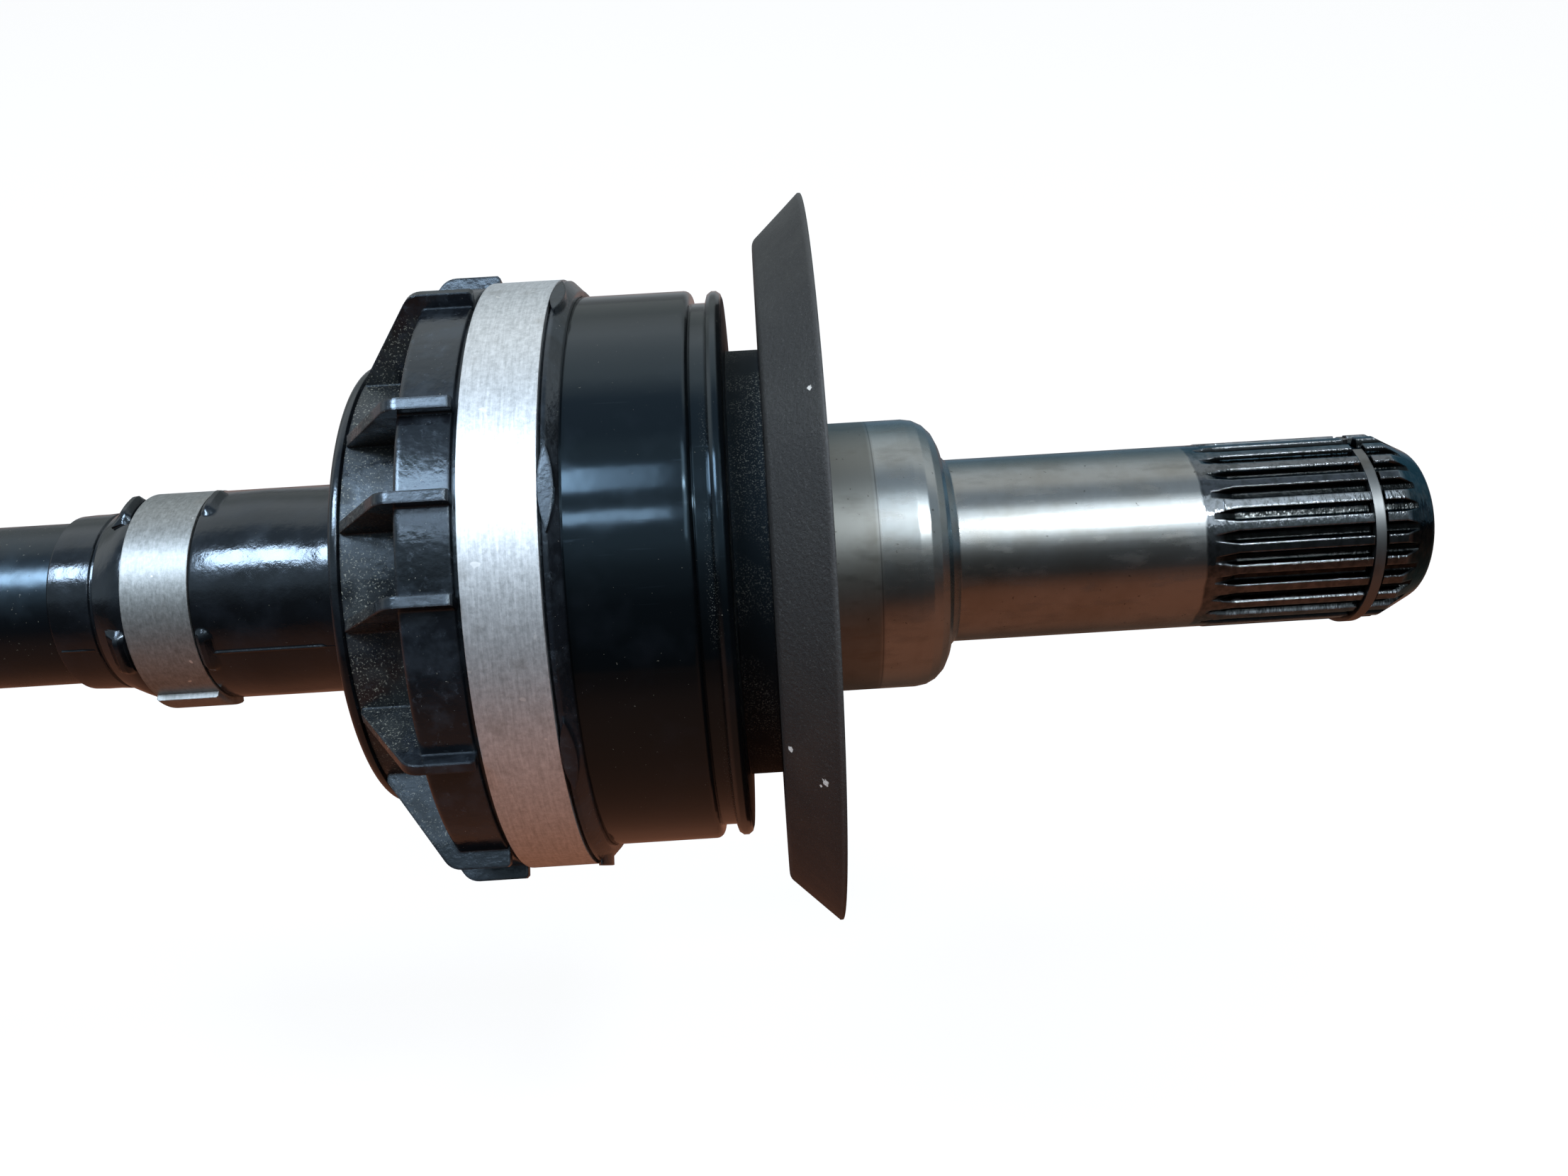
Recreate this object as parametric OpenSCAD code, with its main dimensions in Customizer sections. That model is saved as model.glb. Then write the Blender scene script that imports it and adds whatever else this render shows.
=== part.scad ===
// Half shaft: plunging ball joint with its stub on the gearbox side, a solid bar, and a fixed ball joint
// with its stub on the wheel side. The axis runs along X, the gearbox is towards +X, and the origin is
// the middle of the seal journal. Outlines of turned pieces are lists of [radius, x] points.

/* [Gearbox stub] */
// Radius of the seal journal beside the dust shield
seal_r = 21.95; // [18:0.05:24]
// Length of the seal journal
seal_len = 18.8; // [16:0.1:28]
// Radius of the rounding that ends the seal journal
shoulder_round = 5.4; // [3:0.1:5.5]
// Radius of the plain bearing journal
journal_r = 14.95; // [12:0.05:16.5]
// Length of the plain bearing journal
journal_len = 44.4; // [25:0.5:60]
// Length of the spline between its run-out and the circlip groove
stub_spline_len = 21; // [16:0.5:40]
// Length of the splined pilot beyond the circlip
pilot_len = 9.1; // [6:0.5:14]
// Length of the pilot before its nose tapers
pilot_cylinder = 3; // [1:0.1:5]
// Taper of the pilot's nose, measured on the radius
pilot_taper = 2.4; // [1:0.1:4]
// Radius of the nose's rounded end
pilot_round = 2; // [0.5:0.1:3]
// Width of the circlip groove
clip_groove_w = 2.2; // [2:0.1:4]
// Depth of the circlip groove
clip_groove_depth = 1.7; // [1.3:0.1:2.2]

/* [Splines] */
// Radius over the teeth of both stub splines
spline_r = 15.05; // [13:0.05:17]
// Number of teeth of the stub splines
spline_teeth = 27; // [20:1:36]
// Depth of the spline grooves
spline_depth = 1.25; // [0.8:0.05:1.6]
// Length over which a groove runs out to the plain journal
spline_runout = 4; // [3:0.5:8]

/* [Inner housing] */
// Distance from the seal journal's middle back to the inner joint's centre
inner_joint_dist = 41.7; // [41.2:0.1:42.7]
// Wall of the cup outside the ball tracks
cup_wall = 7.65; // [5:0.05:9]
// Distance from the inner joint's centre to the mouth of the cup
mouth_dist = 17.4; // [17:0.1:18]
// Thickness of the cup's end wall
cup_floor = 7.1; // [6:0.1:7.2]
// Depth of the turned groove near the closed end
rim_groove_depth = 2; // [1:0.1:3]
// Width of the turned groove
rim_groove_w = 2.2; // [1.5:0.1:3]
// Thickness of the rolled rim beside the groove
rim_w = 2.5; // [1.5:0.1:3]
// Length of the small dusty shoulder that carries the shield
shoulder_step_len = 5.1; // [4:0.1:7]
// Radius of that shoulder
shoulder_step_r = 34.4; // [28:0.5:38]

/* [Dust shield] */
// Radius where the shield's flat web turns into its skirt
shield_web_r = 50.8; // [45:0.1:54]
// Radius of the shield's rim
shield_rim_r = 57.7; // [54.5:0.1:64]
// Length of the skirt along the axis
shield_skirt_len = 7.7; // [5:0.1:12]
// Sheet thickness
shield_t = 1.2; // [0.8:0.1:2]
// Length of the collar that grips the seal journal
shield_collar_len = 2; // [1:0.1:4]

/* [Inner joint] */
// Radius of the circle that the ball centres lie on
inner_pitch_r = 28; // [27.5:0.1:28.5]
// Space left between neighbouring balls
inner_ball_web = 12; // [11.6:0.1:13]
// Radial wall of the cage
cage_wall = 4.3; // [3.5:0.1:5]
// Distance that the cage stands out past the pitch circle
cage_proud = 4.1; // [3.5:0.1:4.5]
// Width of the rails beside the cage windows
cage_rail = 3; // [2.5:0.1:3.2]
// Half of the inner race's width
inner_race_half = 10.5; // [9:0.1:11]

/* [Boot cap] */
// Radial wall of the cap's skirt
cap_wall = 1.75; // [1.4:0.05:3]
// Width of the cap's lip beyond the clamp
cap_lip_w = 2.6; // [2:0.1:5]
// Height of the lip above the clamp seat
cap_lip_h = 0.75; // [0.4:0.05:1]
// Thickness of the step between skirt and neck
cap_step_t = 2.2; // [1.8:0.1:3]
// Length of the skirt between the step and the clamp
cap_land_w = 8.4; // [6:0.1:10]
// Outer radius of the cap's neck
cap_neck_r = 35; // [33:0.1:37]
// Wall of the cap's neck
cap_neck_wall = 4; // [3:0.1:5]
// Length of the neck in front of the step
cap_neck_len = 10.5; // [7:0.1:12]
// Height of the ribs above the skirt
rib_h = 2.2; // [1:0.1:3]
// Thickness of a rib
rib_t = 1.6; // [1.2:0.1:3]
// Slope of a rib's front edge, in degrees
rib_slope = 55; // [50:1:70]
// Number of rib groups round the cap, one to each slide of its mould
rib_groups = 4; // [3:1:4]
// Angle from the middle rib of a group to the ribs beside it
rib_spread = 16.65; // [12:0.05:18]
// Number of lugs that hold the large band on the cap
cap_lugs = 8; // [4:1:12]

/* [Inner boot] */
// Thickness of the boot's rim against the cap
boot_rim_t = 1.8; // [1.5:0.1:3]
// Wall of the rolling fold
boot_wall = 2; // [1.5:0.1:2.5]
// Depth of the rolling fold behind the rim
fold_depth = 10; // [8:0.5:11]
// Radial wall of the neck
neck_wall = 3.75; // [2.5:0.05:4]
// Length of the neck between the rim and the small clamp
neck_len = 27.3; // [20:0.5:34]
// Number of lugs on each side of the small band
neck_lugs = 4; // [2:1:6]
// Length of the neck's tapered tail beyond the clamp
neck_tail = 12.7; // [9:0.1:18]

/* [Clamps] */
// Thickness of the large bands
band_t = 0.95; // [0.8:0.1:1.5]
// Width of the inner joint's large band
big_band_w = 10.4; // [8:0.1:14]
// Width of the inner joint's small band
small_band_w = 10.2; // [8:0.1:14]
// Thickness of the small bands
small_band_t = 0.8; // [0.6:0.1:1.2]
// Width of the outer joint's bands
outer_band_w = 9; // [7:0.1:11]

/* [Shaft] */
// Distance between the two joint centres
centre_dist = 434.5; // [300:0.5:600]
// Radius of the bar
shaft_r = 13.1; // [12.4:0.05:14]
// Radius of the splined ends inside the races
shaft_end_r = 12.6; // [11.8:0.05:12.8]
// Length of each splined end beyond its joint's centre
shaft_end_len = 14.5; // [14:0.1:15]

/* [Outer joint] */
// Radius of the circle that the ball centres lie on
outer_pitch_r = 29; // [28.5:0.1:29.5]
// Space left between neighbouring balls
outer_ball_web = 11; // [10.6:0.1:11.8]
// Half of the outer race's width
outer_race_half = 11.5; // [10.5:0.1:12]
// Wall of the bell outside the ball tracks
bell_wall = 5; // [4.5:0.1:7]
// Distance from the joint's centre to the mouth of the bell
bell_mouth_dist = 18; // [17:0.5:20]
// Distance from the joint's centre to the shoulder that seats on the wheel hub
hub_face_dist = 42; // [40:0.5:48]
// Radius of that shoulder
hub_face_r = 23; // [20:0.5:26]
// Length of the wheel stub's spline
wheel_spline_len = 42; // [30:1:55]
// Radius of the threaded end
thread_r = 11; // [9:0.5:12]
// Length of the threaded end
thread_len = 23; // [16:0.5:30]
// Radius of the split pin's cross hole
pin_hole_r = 2; // [1.5:0.1:2.5]

/* [Outer boot] */
// Radial wall of the boot's cuffs
cuff_wall = 2.5; // [2:0.1:3.5]
// Length of the large cuff
big_cuff_len = 15; // [12:0.5:16]
// Length of the small cuff
small_cuff_len = 14; // [12:0.5:18]
// Length of the bellows between the cuffs
bellows_len = 68; // [50:1:90]
// Number of folds
folds = 6; // [4:1:8]
// Height of a fold at the large end
fold_h_big = 9; // [6:0.5:10]
// Height of a fold at the small end
fold_h_small = 4; // [3:0.5:5]

/* [Fits] */
// Radial clearance between pieces that are fixed to each other
seat_gap = 0.05; // [0.02:0.01:0.1]
// Clearance of spherical and rolling pieces against each other
slide_gap = 0.4; // [0.3:0.05:0.5]
// Clearance of the inner joint's balls in their tracks
inner_track_gap = 0.45; // [0.4:0.05:0.5]
// Clearance of the outer joint's balls in their tracks
outer_track_gap = 0.95; // [0.9:0.05:1]
// Clearance of the balls in the cage windows
window_gap = 0.3; // [0.2:0.05:0.35]

/* [Hidden] */
$fn = 96;
// Overrun of a cutter past the face it opens
over = 1;
// Straight stretches that stand for one rounded corner, and for one ball-shaped face
arc_steps = 5;
ball_steps = 16;
ball_count = 6;

// Reach of a track past the end of a race or out of a mouth, in degrees
track_swing = 62;
// Extra length of a cage window on each side of its ball
window_side = 0.7;
// Groove that holds the rubber ring near the mouth of the cup
ring_w = 2.6;
ring_depth = 1.6;
ring_inset = 9;
// The shield's seat stands a little above the seal journal, with a chamfer between them
seat_step = 0.35;
seat_chamfer = 0.3;

// Stations along the axis, from the gearbox end to the wheel end
seal_end = seal_len / 2;
shield_seat_end = -seal_end - seat_chamfer;
step_face = shield_seat_end - shield_t - shield_collar_len - 2 * seat_gap;
journal_start = seal_end + shoulder_round;
stub_spline_start = journal_start + journal_len;
clip_start = stub_spline_start + stub_spline_len;
pilot_start = clip_start + clip_groove_w;
stub_end = pilot_start + pilot_len;
rim_face = step_face - shoulder_step_len;
rim_groove_start = rim_face - rim_w - rim_groove_w;
inner_centre = -inner_joint_dist;
cup_mouth = inner_centre - mouth_dist;
ring_start = cup_mouth + ring_inset;
cup_bottom = step_face - cup_floor;
outer_centre = inner_centre - centre_dist;
bell_mouth = outer_centre + bell_mouth_dist;
hub_face = outer_centre - hub_face_dist;

// Radii that follow from the balls; six balls stand as far from each other as from the axis
inner_ball_r = (inner_pitch_r - inner_ball_web) / 2;
outer_ball_r = (outer_pitch_r - outer_ball_web) / 2;
inner_cage_r = inner_pitch_r + cage_proud;
inner_track_r = inner_ball_r + inner_track_gap;
cup_bore_r = inner_cage_r + slide_gap;
cup_r = inner_pitch_r + inner_track_r + cup_wall;
rim_r = cup_r - 0.2;
outer_cage_r = outer_pitch_r + cage_proud + 0.3;
outer_track_r = outer_ball_r + outer_track_gap;
bell_bore_r = outer_cage_r + slide_gap;
shield_seat_r = seal_r + seat_step;
bell_r = outer_pitch_r + outer_track_r + bell_wall;

// Points of a rounded corner: a runs from the +X side (0) to straight outwards (90)
function arc(x, r, radius, a0, a1) =
    [for (i = [0:arc_steps]) let (a = a0 + (a1 - a0) * i / arc_steps)
        [r + radius * sin(a), x + radius * cos(a)]];

// Points of a ball-shaped face about the joint's centre, between two distances along the axis
function ball_arc(x, r, from, to) =
    let (a0 = asin(from / r), a1 = asin(to / r))
        [for (i = [0:ball_steps]) let (a = mix(a0, a1, i / ball_steps)) [r * cos(a), x + r * sin(a)]];

// Value a fraction t of the way from a to b
function mix(a, b, t) = a + (b - a) * t;

// Turned solid about the X axis
module lathe(outline) {
    rotate([0, 90, 0]) rotate_extrude() polygon(outline);
}

// Cylinder along X between two stations
module rod(r, x0, x1) {
    translate([x0, 0, 0]) rotate([0, 90, 0]) cylinder(r = r, h = x1 - x0);
}

// Tube along X between two stations
module tube(r_out, r_in, x0, x1) {
    difference() {
        rod(r_out, x0, x1);
        rod(r_in, x0 - over, x1 + over);
    }
}

// Low lug with a ridge, standing on a round face of radius r; turn is its middle, counted from +Y
module lug(r, x0, w, h, turn, sweep) {
    rotate([turn - sweep / 2 + 90, 0, 0]) rotate([0, 90, 0])
        rotate_extrude(angle = sweep)
            polygon([[r - 0.4, x0], [r + h - 0.3, x0], [r + h, x0 + w * 0.3],
                     [r + h * 0.75, x0 + w * 0.7], [r - 0.4, x0 + w]]);
}

// Spring ring with an opening, lying across the X axis
module open_ring(r_out, r_in, x0, w, opening) {
    difference() {
        tube(r_out, r_in, x0, x0 + w);
        translate([x0 - over, -opening / 2, 0]) cube([w + 2 * over, opening, r_out + over]);
    }
}

// One V-shaped cutter with its root at the origin, running towards +X
module groove_cutter(teeth, r, depth, len) {
    pitch = 2 * PI * r / teeth;
    mouth = pitch * 0.62;
    root = pitch * 0.26;
    slope = (mouth - root) / 2 / depth;
    top = depth + over;
    rotate([90, 0, 90])
        linear_extrude(len)
            polygon([[-root / 2, 0], [root / 2, 0],
                     [root / 2 + slope * top, top], [-root / 2 - slope * top, top]]);
}

// Spline grooves between two stations; the one at x_run rises to the surface over a run-out
module spline_grooves(teeth, r, depth, x_run, x_open) {
    dir = x_open > x_run ? 1 : -1;
    tilt = atan(depth / spline_runout);
    for (i = [0:teeth - 1])
        rotate([i * 360 / teeth, 0, 0])
            translate([x_run, 0, r - depth])
                mirror([dir > 0 ? 0 : 1, 0, 0]) {
                    groove_cutter(teeth, r, depth, abs(x_open - x_run));
                    translate([0.05, 0, 0])
                        mirror([1, 0, 0])
                            rotate([0, -tilt, 0])
                                groove_cutter(teeth, r, depth, 1.15 * spline_runout);
                }
}

// Balls at the given angles about the X axis, counted from +Y
module balls(x, pitch_r, r, angles) {
    for (a = angles)
        rotate([a, 0, 0]) translate([x, pitch_r, 0]) sphere(r = r);
}

// Cage: a hollow ball cut to a band, with a window for each ball
module ball_cage(x, r, ball_r) {
    window = ball_r + window_gap;
    half = window + cage_rail;
    inner = r - cage_wall;
    difference() {
        lathe(concat(ball_arc(x, r, -half, half), ball_arc(x, inner, half, -half)));
        for (i = [0:ball_count - 1])
            rotate([i * 360 / ball_count, 0, 0])
                translate([x - window, inner - over - cage_wall, -window - window_side])
                    cube([2 * window, 2 * over + 2 * cage_wall, 2 * (window + window_side)]);
    }
}

// Race: a ball cut to a band, with a curved track for each ball and a bore for the shaft
module ball_race(x, r, half, pitch_r, track_r) {
    bore = shaft_end_r + seat_gap;
    difference() {
        lathe(concat(ball_arc(x, r, -half, half), [[bore, x + half], [bore, x - half]]));
        ball_tracks(x, pitch_r, track_r, track_swing);
    }
}

// Tracks swept by the balls about a joint's centre; swing is how far they reach towards -X, in degrees
module ball_tracks(x, pitch_r, track_r, swing) {
    for (i = [0:ball_count - 1])
        rotate([i * 360 / ball_count, 0, 0])
            translate([x, 0, 0])
                rotate([0, 0, 90 - track_swing])
                    rotate_extrude(angle = track_swing + swing)
                        translate([pitch_r, 0]) circle(r = track_r);
}

// Gearbox side: cup, seal journal, bearing journal, spline and pilot turned from one forging
module inner_housing() {
    edge = 0.8;
    round_r = 1.2;
    fillet_r = 1.4;
    color("#17181a")
    difference() {
        lathe(concat(
            [[cup_r - edge, cup_mouth], [cup_r, cup_mouth + edge],
             [cup_r, ring_start], [cup_r - ring_depth, ring_start],
             [cup_r - ring_depth, ring_start + ring_w], [cup_r, ring_start + ring_w]],
            arc(rim_groove_start - round_r, cup_r - round_r, round_r, 90, 0),
            [[cup_r - rim_groove_depth, rim_groove_start],
             [cup_r - rim_groove_depth, rim_face - rim_w]],
            arc(rim_face - rim_w / 2, rim_r - rim_w / 2, rim_w / 2, 180, 0),
            [[shoulder_step_r, rim_face], [shoulder_step_r, step_face], [shield_seat_r, step_face],
             [shield_seat_r, shield_seat_end], [seal_r, -seal_end]],
            arc(journal_start - shoulder_round, seal_r - shoulder_round, shoulder_round, 90, 0),
            [[journal_r + fillet_r, journal_start]],
            [[journal_r, journal_start + fillet_r],
             [journal_r, stub_spline_start - spline_runout / 2],
             [spline_r, stub_spline_start - spline_runout / 2 + 0.4],
             [spline_r, clip_start], [spline_r - clip_groove_depth, clip_start],
             [spline_r - clip_groove_depth, pilot_start], [spline_r, pilot_start],
             [spline_r, pilot_start + pilot_cylinder]],
            arc(stub_end - pilot_round, spline_r - pilot_taper - pilot_round, pilot_round, 65, 0),
            [[0, stub_end], [0, cup_bottom],
             [cup_bore_r, cup_bottom], [cup_bore_r, cup_mouth]]));
        for (i = [0:ball_count - 1])
            rotate([i * 360 / ball_count, 0, 0]) {
                track_end = inner_centre + mouth_dist;
                translate([cup_mouth - over, inner_pitch_r, 0])
                    rotate([0, 90, 0])
                        cylinder(r = inner_track_r, h = track_end - inner_ball_r - cup_mouth + over);
                translate([track_end - inner_ball_r, inner_pitch_r, 0]) sphere(r = inner_track_r);
            }
        spline_grooves(spline_teeth, spline_r, spline_depth, stub_spline_start, stub_end + over);
        centre_drilling(stub_end, -1);
    }
}

// Lathe centre in the end of a stub; dir points into the metal
module centre_drilling(x, dir) {
    centre_r = 3.5;
    translate([x, 0, 0]) rotate([0, 90 * dir, 0]) {
        translate([0, 0, -over]) cylinder(r1 = centre_r + over, r2 = 0, h = centre_r + over);
        cylinder(r = centre_r * 0.35, h = 2 * centre_r);
    }
}

// Rubber ring between cup and cap
module inner_seal_ring() {
    color("#202022")
    tube(cup_r + seat_gap / 2, cup_r - ring_depth + seat_gap, ring_start + seat_gap,
         ring_start + ring_w - seat_gap);
}

// Pressed sheet: a collar on its seat, a flat web, and a flared skirt that thins to its rim
module dust_shield() {
    web = step_face + seat_gap;
    skirt = web + shield_skirt_len;
    collar = web + shield_t + shield_collar_len;
    bore = shield_seat_r + seat_gap;
    lip = 0.35;
    bend_r = 2;
    flare = atan((shield_rim_r - shield_web_r) / (shield_skirt_len - lip));
    bend_end = bend_r * tan(flare / 2);
    color("#2b2b2d")
    lathe(concat(
        [[bore, web], [shield_web_r - bend_end, web]],
        arc(web + bend_r, shield_web_r - bend_end, bend_r, 180 - flare * 0.2, 180 - flare * 0.9),
        [[shield_rim_r, skirt - lip], [shield_rim_r, skirt], [shield_rim_r - shield_t, skirt],
         [shield_web_r - bend_end, web + shield_t], [bore + shield_t, web + shield_t],
         [bore + shield_t, collar], [bore, collar]]));
}

// Spring ring in the stub's groove, hanging a little low
module stub_circlip() {
    drop = 0.6;
    stand = 0.15;
    opening = 5;
    floor_r = spline_r - clip_groove_depth;
    color("#6f6f6c")
    translate([0, 0, -drop])
        rotate([clip_turn, 0, 0])
            open_ring(spline_r + stand, floor_r + drop + seat_gap, clip_start + 0.3, clip_groove_w - 0.6,
                      opening);
}

// Stations of the cap, from its lip to its front
clamp_seat_r = cup_r + seat_gap + cap_wall;
step_back = cup_mouth - seat_gap;
step_front = step_back - cap_step_t;
clamp_start = step_front + cap_land_w;
clamp_end = clamp_start + big_band_w;
lip_end = clamp_end + cap_lip_w;
land_r = clamp_seat_r + 0.35;
skirt_mid_r = cup_r + seat_gap + cap_wall * 0.3;
neck_front = step_front - cap_neck_len;
clip_turn = -15;
cap_lug_turn = 127;
neck_lug_turn = 171;
lock_turn = 220;
rib_turn = 127.8;
split_turn = 46.1;

// Hard cap: skirt over the cup's mouth, step, neck, and ribs that brace neck to skirt
module inner_boot_cap() {
    neck_in = cap_neck_r - cap_neck_wall;
    skirt_in = cup_r + seat_gap;
    color("#1d1d1f")
    union() {
        lathe(concat(
            [[neck_in, neck_front], [cap_neck_r, neck_front], [cap_neck_r, step_front]],
            arc(step_front + 0.8, land_r - 0.8, 0.8, 180, 90),
            [[land_r, clamp_start - 1], [clamp_seat_r - 0.4, clamp_start - 0.8],
             [clamp_seat_r - 0.4, clamp_start - 0.1], [clamp_seat_r, clamp_start],
             [clamp_seat_r, clamp_end + 0.2], [clamp_seat_r + cap_lip_h, clamp_end + 0.5],
             [clamp_seat_r + cap_lip_h, clamp_end + cap_lip_w * 0.4],
             [skirt_in + 0.9, lip_end], [skirt_in, lip_end], [skirt_in, step_back],
             [neck_in, step_back]]));
        for (group = [0:rib_groups - 1])
            rotate([rib_turn + group * 360 / rib_groups, 0, 0]) {
                for (side = [-1:1]) rib(side * land_r * sin(rib_spread));
                rotate([-split_turn, 0, 0]) rib(0);
            }
        for (i = [0:cap_lugs - 1])
            rotate([cap_lug_turn - 90 + i * 360 / cap_lugs, 0, 0]) leaf();
    }
}

// Leaf-shaped lug beside the band: what two crossed discs share
module leaf() {
    leaf_len = 12;
    leaf_w = 2.1;
    leaf_r = (leaf_len * leaf_len / 4 + leaf_w * leaf_w / 4) / leaf_w;
    base = skirt_mid_r;
    tall = clamp_seat_r + band_t + 0.35 - base;
    middle = clamp_end + 0.1 + leaf_w / 2;
    intersection() {
        translate([middle - leaf_w / 2 + leaf_r, 0, base]) cylinder(r = leaf_r, h = tall);
        translate([middle + leaf_w / 2 - leaf_r, 0, base]) cylinder(r = leaf_r, h = tall);
    }
}

// Height at which a plane beside the axis meets a round of radius r
function height_at(r, beside) = sqrt(r * r - beside * beside);

// One rib: rises from the neck's front at a slope, rounds over and runs along the skirt to the band
module rib(beside) {
    far_side = abs(beside) + rib_t / 2;
    top = height_at(land_r + rib_h, beside);
    low = height_at(cap_neck_r, beside);
    base = height_at(cap_neck_r - 0.5, far_side);
    land = height_at(land_r - 0.5, far_side);
    foot = neck_front + 0.3;
    foot_h = 0.9;
    corner = 3;
    end = clamp_start - 0.7;
    run = (top - low - foot_h) / tan(rib_slope);
    turn_in = corner * tan(rib_slope / 2);
    translate([0, 0, beside])
        linear_extrude(rib_t, center = true)
            polygon(concat(
                [[foot, base], [foot, low + foot_h]],
                [for (p = arc(foot + run + turn_in, top - corner, corner, 90 + rib_slope, 90)) [p[1], p[0]]],
                [[end - 0.4, top], [end, top - 0.4], [end, land], [step_front + 0.6, land],
                 [step_front + 0.6, base]]));
}

// Swaged band round the cap's skirt
module inner_clamp_large() {
    color("#c4c5c4")
    tube(clamp_seat_r + seat_gap + band_t, clamp_seat_r + seat_gap, clamp_start, clamp_end);
}

module inner_plunge_balls() {
    color("#b8babd") balls(inner_centre, inner_pitch_r, inner_ball_r, [0, 180]);
}

module inner_cage_balls() {
    color("#b8babd") balls(inner_centre, inner_pitch_r, inner_ball_r, [60, 120, 240, 300]);
}

module inner_cage() {
    color("#84868a") ball_cage(inner_centre, inner_cage_r, inner_ball_r);
}

module inner_race() {
    color("#8d8f92")
    ball_race(inner_centre, inner_cage_r - cage_wall - slide_gap, inner_race_half, inner_pitch_r,
              inner_track_r);
}

// Rings that hold a race on the shaft, in grooves beside it
race_ring_t = 1.5;
race_ring_r = 14;
ring_groove_r = shaft_end_r - 1.1;

module race_ring(x0) {
    color("#77797c") open_ring(race_ring_r, ring_groove_r + seat_gap, x0, race_ring_t, 6);
}

module inner_race_circlip() {
    race_ring(inner_centre + inner_race_half + seat_gap);
}

module inner_stop_ring() {
    race_ring(inner_centre - inner_race_half - seat_gap - race_ring_t);
}

// Neck radii and stations of the inner boot
neck_in_r = shaft_r + seat_gap;
neck_r = neck_in_r + neck_wall;
boot_front = neck_front - seat_gap - boot_rim_t;
small_clamp_end = boot_front - neck_len;
small_clamp_start = small_clamp_end - small_band_w;
boot_end = small_clamp_start - neck_tail;
neck_seat_r = neck_r + 0.05 - small_band_t;
tail_r = neck_r - 2.9;
tail_groove = small_clamp_start - neck_tail * 0.48;

// Boot: rim on the cap, a fold that rolls back inside the cap, and a neck on the shaft
module inner_boot() {
    rim_in = cap_neck_r - cap_neck_wall - seat_gap;
    rim_out = cap_neck_r + 0.4;
    rim_round = 1.2;
    back = neck_front - seat_gap;
    fold_end = boot_front + fold_depth;
    mid_r = (rim_in - boot_wall + neck_r) / 2;
    roll = mid_r - neck_r;
    lug_w = 3.2;
    color("#141416")
    union() {
        lathe(concat(
            [[neck_in_r, boot_end], [tail_r - 0.6, boot_end], [tail_r, boot_end + 2.6],
             [tail_r + 0.1, tail_groove], [tail_r - 0.25, tail_groove + 0.4],
             [tail_r + 0.3, tail_groove + 0.8], [neck_r - 0.5, small_clamp_start - 0.8],
             [neck_r - 0.4, small_clamp_start], [neck_seat_r, small_clamp_start],
             [neck_seat_r, small_clamp_end], [neck_r, small_clamp_end]],
            arc(fold_end, mid_r, roll, -90, 90),
            [[rim_in - boot_wall, boot_front]],
            arc(boot_front + rim_round, rim_out - rim_round, rim_round, 180, 90),
            [[rim_out, back - 0.3], [rim_out - 0.5, back], [rim_in, back]],
            arc(fold_end, mid_r, roll + boot_wall, 90, -90),
            [[neck_in_r, fold_end]]));
        for (i = [0:neck_lugs - 1]) {
            turn = neck_lug_turn + i * 360 / neck_lugs;
            lug(neck_seat_r, small_clamp_end + 0.15, lug_w, small_band_t + 0.55, turn, 27);
            mirror([1, 0, 0])
                lug(neck_seat_r, -small_clamp_start + 0.15, lug_w, small_band_t + 0.55, turn, 27);
        }
    }
}

// Thin band with a low lock plate where its end is folded over
module inner_clamp_small() {
    inner = neck_seat_r + seat_gap;
    outer = inner + small_band_t;
    start = small_clamp_start + seat_gap;
    end = small_clamp_end - seat_gap;
    plate_out = outer + 1.05;
    plate_sweep = 32;
    edge = 0.25;
    color("#c4c5c4")
    union() {
        tube(outer, inner, start, end);
        rotate([lock_turn - plate_sweep / 2 + 90, 0, 0]) rotate([0, 90, 0])
            rotate_extrude(angle = plate_sweep)
                polygon([[inner + edge, start + edge], [plate_out - edge, start + edge],
                         [plate_out, start + 2 * edge], [plate_out, end - 2 * edge],
                         [plate_out - edge, end - edge], [inner + edge, end - edge]]);
    }
}

// Solid bar with stepped seats and a splined end in each race
module shaft() {
    near = inner_centre + shaft_end_len;
    far = outer_centre - shaft_end_len;
    shoulder = inner_race_half + 6.5;
    shoulder_taper = 3;
    stop_h = 1.2;
    stop_w = 4;
    stop = thrust_end + seat_gap;
    edge = 1;
    color("#17181a")
    lathe([[0, far], [shaft_end_r - edge, far], [shaft_end_r, far + edge],
           [shaft_end_r, outer_centre - outer_race_half - seat_gap * 2 - race_ring_t],
           [ring_groove_r, outer_centre - outer_race_half - seat_gap * 2 - race_ring_t],
           [ring_groove_r, outer_centre - outer_race_half],
           [shaft_end_r, outer_centre - outer_race_half],
           [shaft_end_r, stop], [shaft_r + stop_h, stop], [shaft_r + stop_h, stop + stop_w],
           [shaft_r, stop + 2 * stop_w], [shaft_r, inner_centre - shoulder - shoulder_taper], [shaft_end_r, inner_centre - shoulder],
           [shaft_end_r, inner_centre - inner_race_half - race_ring_t - seat_gap * 2],
           [ring_groove_r, inner_centre - inner_race_half - race_ring_t - seat_gap * 2],
           [ring_groove_r, inner_centre - inner_race_half],
           [shaft_end_r, inner_centre - inner_race_half],
           [shaft_end_r, inner_centre + inner_race_half],
           [ring_groove_r, inner_centre + inner_race_half],
           [ring_groove_r, inner_centre + inner_race_half + race_ring_t + seat_gap * 2],
           [shaft_end_r, inner_centre + inner_race_half + race_ring_t + seat_gap * 2],
           [shaft_end_r, near - edge], [shaft_end_r - edge, near], [0, near]]);
}

module outer_race() {
    color("#8d8f92")
    ball_race(outer_centre, outer_cage_r - cage_wall - slide_gap, outer_race_half, outer_pitch_r,
              outer_track_r);
}

module outer_cage() {
    color("#84868a") ball_cage(outer_centre, outer_cage_r, outer_ball_r);
}

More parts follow.
